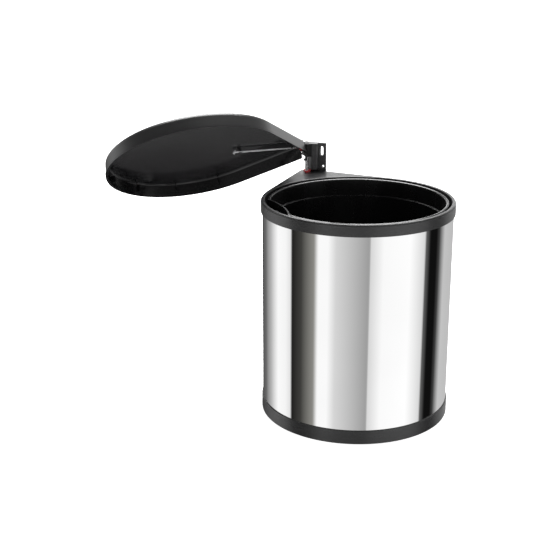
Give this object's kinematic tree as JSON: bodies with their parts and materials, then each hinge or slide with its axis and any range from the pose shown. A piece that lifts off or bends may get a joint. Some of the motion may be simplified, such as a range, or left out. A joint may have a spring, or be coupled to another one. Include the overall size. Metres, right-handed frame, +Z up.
{
  "type": "swing-out cabinet trash can",
  "caption": "Round steel trash can for inside a cabinet: it swings out on a wall bracket and its drop-shaped lid rolls up and stays behind.",
  "frame": {"origin": "on the can's axis at the underside of its base, with the can swung out", "axes": "+Z up, +Y into the cabinet wall that carries the bracket, +X along that wall"},
  "size_m": [0.5361, 0.2866, 0.4453],
  "materials": {
    "polished_steel": "polished",
    "dark_plastic": "satin",
    "black_plastic": "semi-gloss",
    "lid_plastic": "semi-gloss",
    "red_plastic": "semi-gloss",
    "grey_casting": "satin",
    "plate_steel": "satin",
    "pin_steel": "polished",
    "screw_steel": "zinc plated",
    "pale_plastic": "matt"
  },
  "bodies": {
    "bracket": {"wall_plate": "plate_steel", "hinge_housing": "grey_casting", "housing_screws": "screw_steel", "axle_block": "grey_casting", "block_screws": "screw_steel", "thrust_washer": "pale_plastic"},
    "can": {"top_collar": "dark_plastic", "steel_shell": "polished_steel", "base_ring": "dark_plastic", "inner_bucket": "black_plastic", "pivot_pin": "pin_steel", "pivot_bush": "red_plastic", "cross_pin": "pin_steel", "pin_clip": "screw_steel", "lift_peg": "pin_steel", "neck_plate": "plate_steel", "neck_screws": "screw_steel"},
    "lid": {"lid_shell": "lid_plastic", "lid_axle": "pin_steel", "rod_clip": "lid_plastic", "lid_lever": "lid_plastic", "lever_screws": "screw_steel", "axle_clip": "screw_steel", "axle_washer": "pale_plastic"}
  },
  "joints": [
    {"name": "bin_swing", "type": "hinge", "parent": "bracket", "child": "can", "pos_m": [-0.13524, 0.1306, 0.31], "axis": [0, 0, 1], "range_deg": [-92, 0]},
    {"name": "lid_tilt", "type": "hinge", "parent": "bracket", "child": "lid", "pos_m": [-0.14184, 0.13743, 0.361], "axis": [-0.7193, -0.6947, 0], "range_deg": [-35, 0]}
  ],
  "couplings": [
    {"joint": "lid_tilt", "follows": "bin_swing", "ratio": 0.3804}
  ]
}
